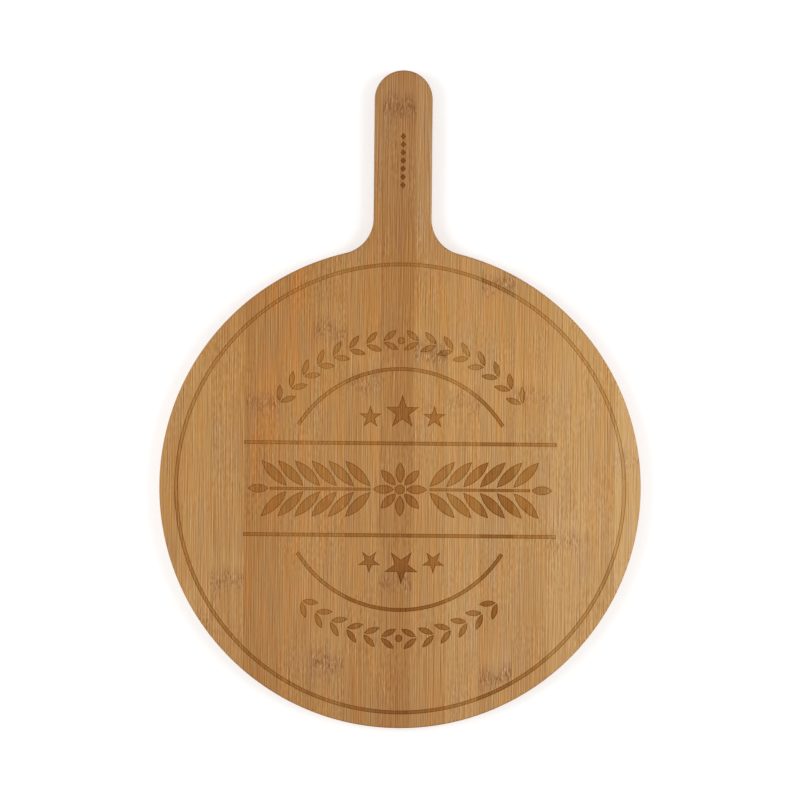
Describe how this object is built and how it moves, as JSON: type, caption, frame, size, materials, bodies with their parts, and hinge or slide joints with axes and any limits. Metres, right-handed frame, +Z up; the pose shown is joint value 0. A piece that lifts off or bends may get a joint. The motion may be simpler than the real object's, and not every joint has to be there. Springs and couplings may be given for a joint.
{
  "type": "pizza serving board",
  "caption": "Round bamboo serving board with a straight round-ended handle, glued up from strips in cross-laid layers, with shallow engraved lines, stars and leaves on its face.",
  "frame": {"origin": "middle of the disc, on the underside", "axes": "+Y from the middle of the disc to the tip of the handle, +Z up out of the engraved face"},
  "size_m": [0.356, 0.4865, 0.015],
  "materials": {
    "face_bamboo": "oiled, satin",
    "core_bamboo": "oiled, satin",
    "back_bamboo": "oiled, satin"
  },
  "bodies": {
    "root": {"face_strip_01": "face_bamboo", "face_strip_02": "face_bamboo", "face_strip_03": "face_bamboo", "face_strip_04": "face_bamboo", "face_strip_05": "face_bamboo", "face_strip_06": "face_bamboo", "face_strip_07": "face_bamboo", "face_strip_08": "face_bamboo", "face_strip_09": "face_bamboo", "face_strip_10": "face_bamboo", "face_strip_11": "face_bamboo", "face_strip_12": "face_bamboo", "face_strip_13": "face_bamboo", "face_strip_14": "face_bamboo", "face_strip_15": "face_bamboo", "core_strip_01": "core_bamboo", "core_strip_02": "core_bamboo", "core_strip_03": "core_bamboo", "core_strip_04": "core_bamboo", "core_strip_05": "core_bamboo", "core_strip_06": "core_bamboo", "core_strip_07": "core_bamboo", "core_strip_08": "core_bamboo", "core_strip_09": "core_bamboo", "core_strip_10": "core_bamboo", "core_strip_11": "core_bamboo", "core_strip_12": "core_bamboo", "core_strip_13": "core_bamboo", "core_strip_14": "core_bamboo", "core_strip_15": "core_bamboo", "core_strip_16": "core_bamboo", "core_strip_17": "core_bamboo", "core_strip_18": "core_bamboo", "core_strip_19": "core_bamboo", "core_strip_20": "core_bamboo", "back_strip_01": "back_bamboo", "back_strip_02": "back_bamboo", "back_strip_03": "back_bamboo", "back_strip_04": "back_bamboo", "back_strip_05": "back_bamboo", "back_strip_06": "back_bamboo", "back_strip_07": "back_bamboo", "back_strip_08": "back_bamboo", "back_strip_09": "back_bamboo", "back_strip_10": "back_bamboo", "back_strip_11": "back_bamboo", "back_strip_12": "back_bamboo", "back_strip_13": "back_bamboo", "back_strip_14": "back_bamboo", "back_strip_15": "back_bamboo"}
  },
  "joints": []
}
